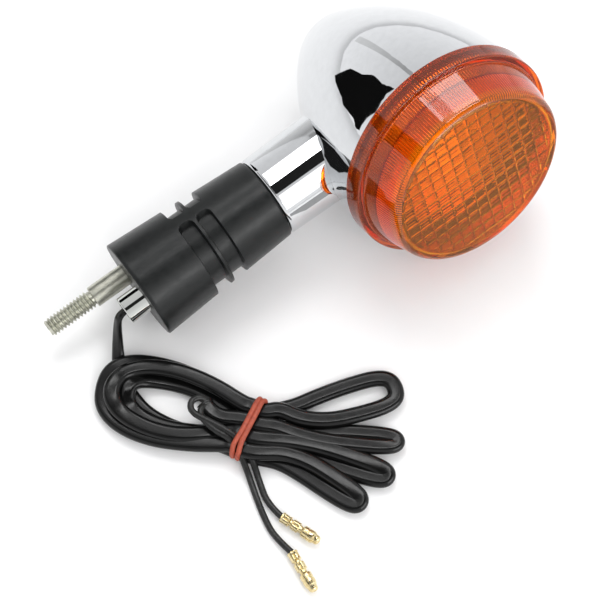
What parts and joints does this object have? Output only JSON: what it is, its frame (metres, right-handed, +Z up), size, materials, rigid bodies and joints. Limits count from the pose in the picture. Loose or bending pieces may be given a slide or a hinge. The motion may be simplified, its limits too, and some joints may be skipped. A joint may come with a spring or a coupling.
{
  "type": "turn signal indicator",
  "caption": "Round bullet turn signal with a chrome housing and stem, amber fluted lens, grooved rubber mount with a threaded stud, and a tied wire lead with bullet terminals.",
  "frame": {"origin": "on the table under the middle of the lamp, without its lead", "axes": "+X along the stem towards the lamp head, +Z up off the table, lens facing -Y"},
  "size_m": [0.1694, 0.1528, 0.0757],
  "materials": {
    "black_rubber": "satin",
    "gasket_rubber": "matt",
    "band_rubber": "matt",
    "housing_chrome": "polished",
    "zinc_steel": "yellow zinc",
    "plated_steel": "bright",
    "tube_chrome": "polished",
    "lens_amber": "clear amber, moulded prisms",
    "reflector_chrome": "vacuum metallised",
    "bulb_brass": "plain",
    "bulb_glass": "clear",
    "black_glass": "gloss",
    "solder": "plain",
    "tungsten": "plain",
    "phenolic": "matt",
    "sleeve_vinyl": "gloss",
    "wire_vinyl": "gloss",
    "terminal_brass": "bright"
  },
  "bodies": {
    "mount": {"damper_foot": "black_rubber", "damper_neck": "black_rubber", "mount_plate": "plated_steel", "mounting_stud": "zinc_steel", "wire_guide_tube": "tube_chrome", "lead_core": "sleeve_vinyl", "lead_drop": "sleeve_vinyl", "lead_hank": "sleeve_vinyl", "hank_tie": "band_rubber", "power_tail": "wire_vinyl", "ground_tail": "wire_vinyl", "power_bullet": "terminal_brass", "ground_bullet": "terminal_brass"},
    "head": {"damper_collar": "black_rubber", "stem_core": "plated_steel", "stem_set_screw": "zinc_steel", "stem_tube": "housing_chrome", "housing_shell": "housing_chrome", "lens_gasket": "gasket_rubber", "reflector": "reflector_chrome", "socket_shell": "plated_steel", "socket_bracket": "plated_steel", "bracket_screws": "plated_steel", "lock_washer": "plated_steel", "ground_terminal": "terminal_brass", "contact_spring": "plated_steel", "power_wire": "wire_vinyl", "ground_wire": "wire_vinyl"},
    "lens_part": {"lens": "lens_amber"},
    "bulb_carriage": {"contact_carrier": "phenolic", "contact_pin": "bulb_brass"},
    "bulb": {"bulb_base": "bulb_brass", "bulb_insulator": "black_glass", "bulb_contact": "solder", "bulb_glass": "bulb_glass", "bulb_stem": "bulb_glass", "filament_posts": "tungsten", "filament": "tungsten"}
  },
  "joints": [
    {"name": "mount_sway", "type": "hinge", "parent": "mount", "child": "head", "pos_m": [-0.02866, 0.0044, 0.0208], "axis": [-0.1353, 0.279, 0.9507], "range_deg": [-10, 10], "stiffness_Nm_per_rad": 8, "deforming": ["damper_neck", "lead_core"]},
    {"name": "lens_pull", "type": "slide", "parent": "head", "child": "lens_part", "axis": [-0.0393, -0.9603, 0.2762], "range_m": [0, 0.025]},
    {"name": "bulb_push", "type": "slide", "parent": "head", "child": "bulb_carriage", "axis": [0.0393, 0.9603, -0.2762], "range_m": [0, 0.0025], "stiffness_N_per_m": 2500, "springref_m": -0.002, "deforming": ["contact_spring", "power_wire"]},
    {"name": "bulb_twist", "type": "hinge", "parent": "bulb_carriage", "child": "bulb", "pos_m": [0.04925, 0.014, 0.02907], "axis": [0.0393, 0.9603, -0.2762], "range_deg": [0, 20]}
  ]
}
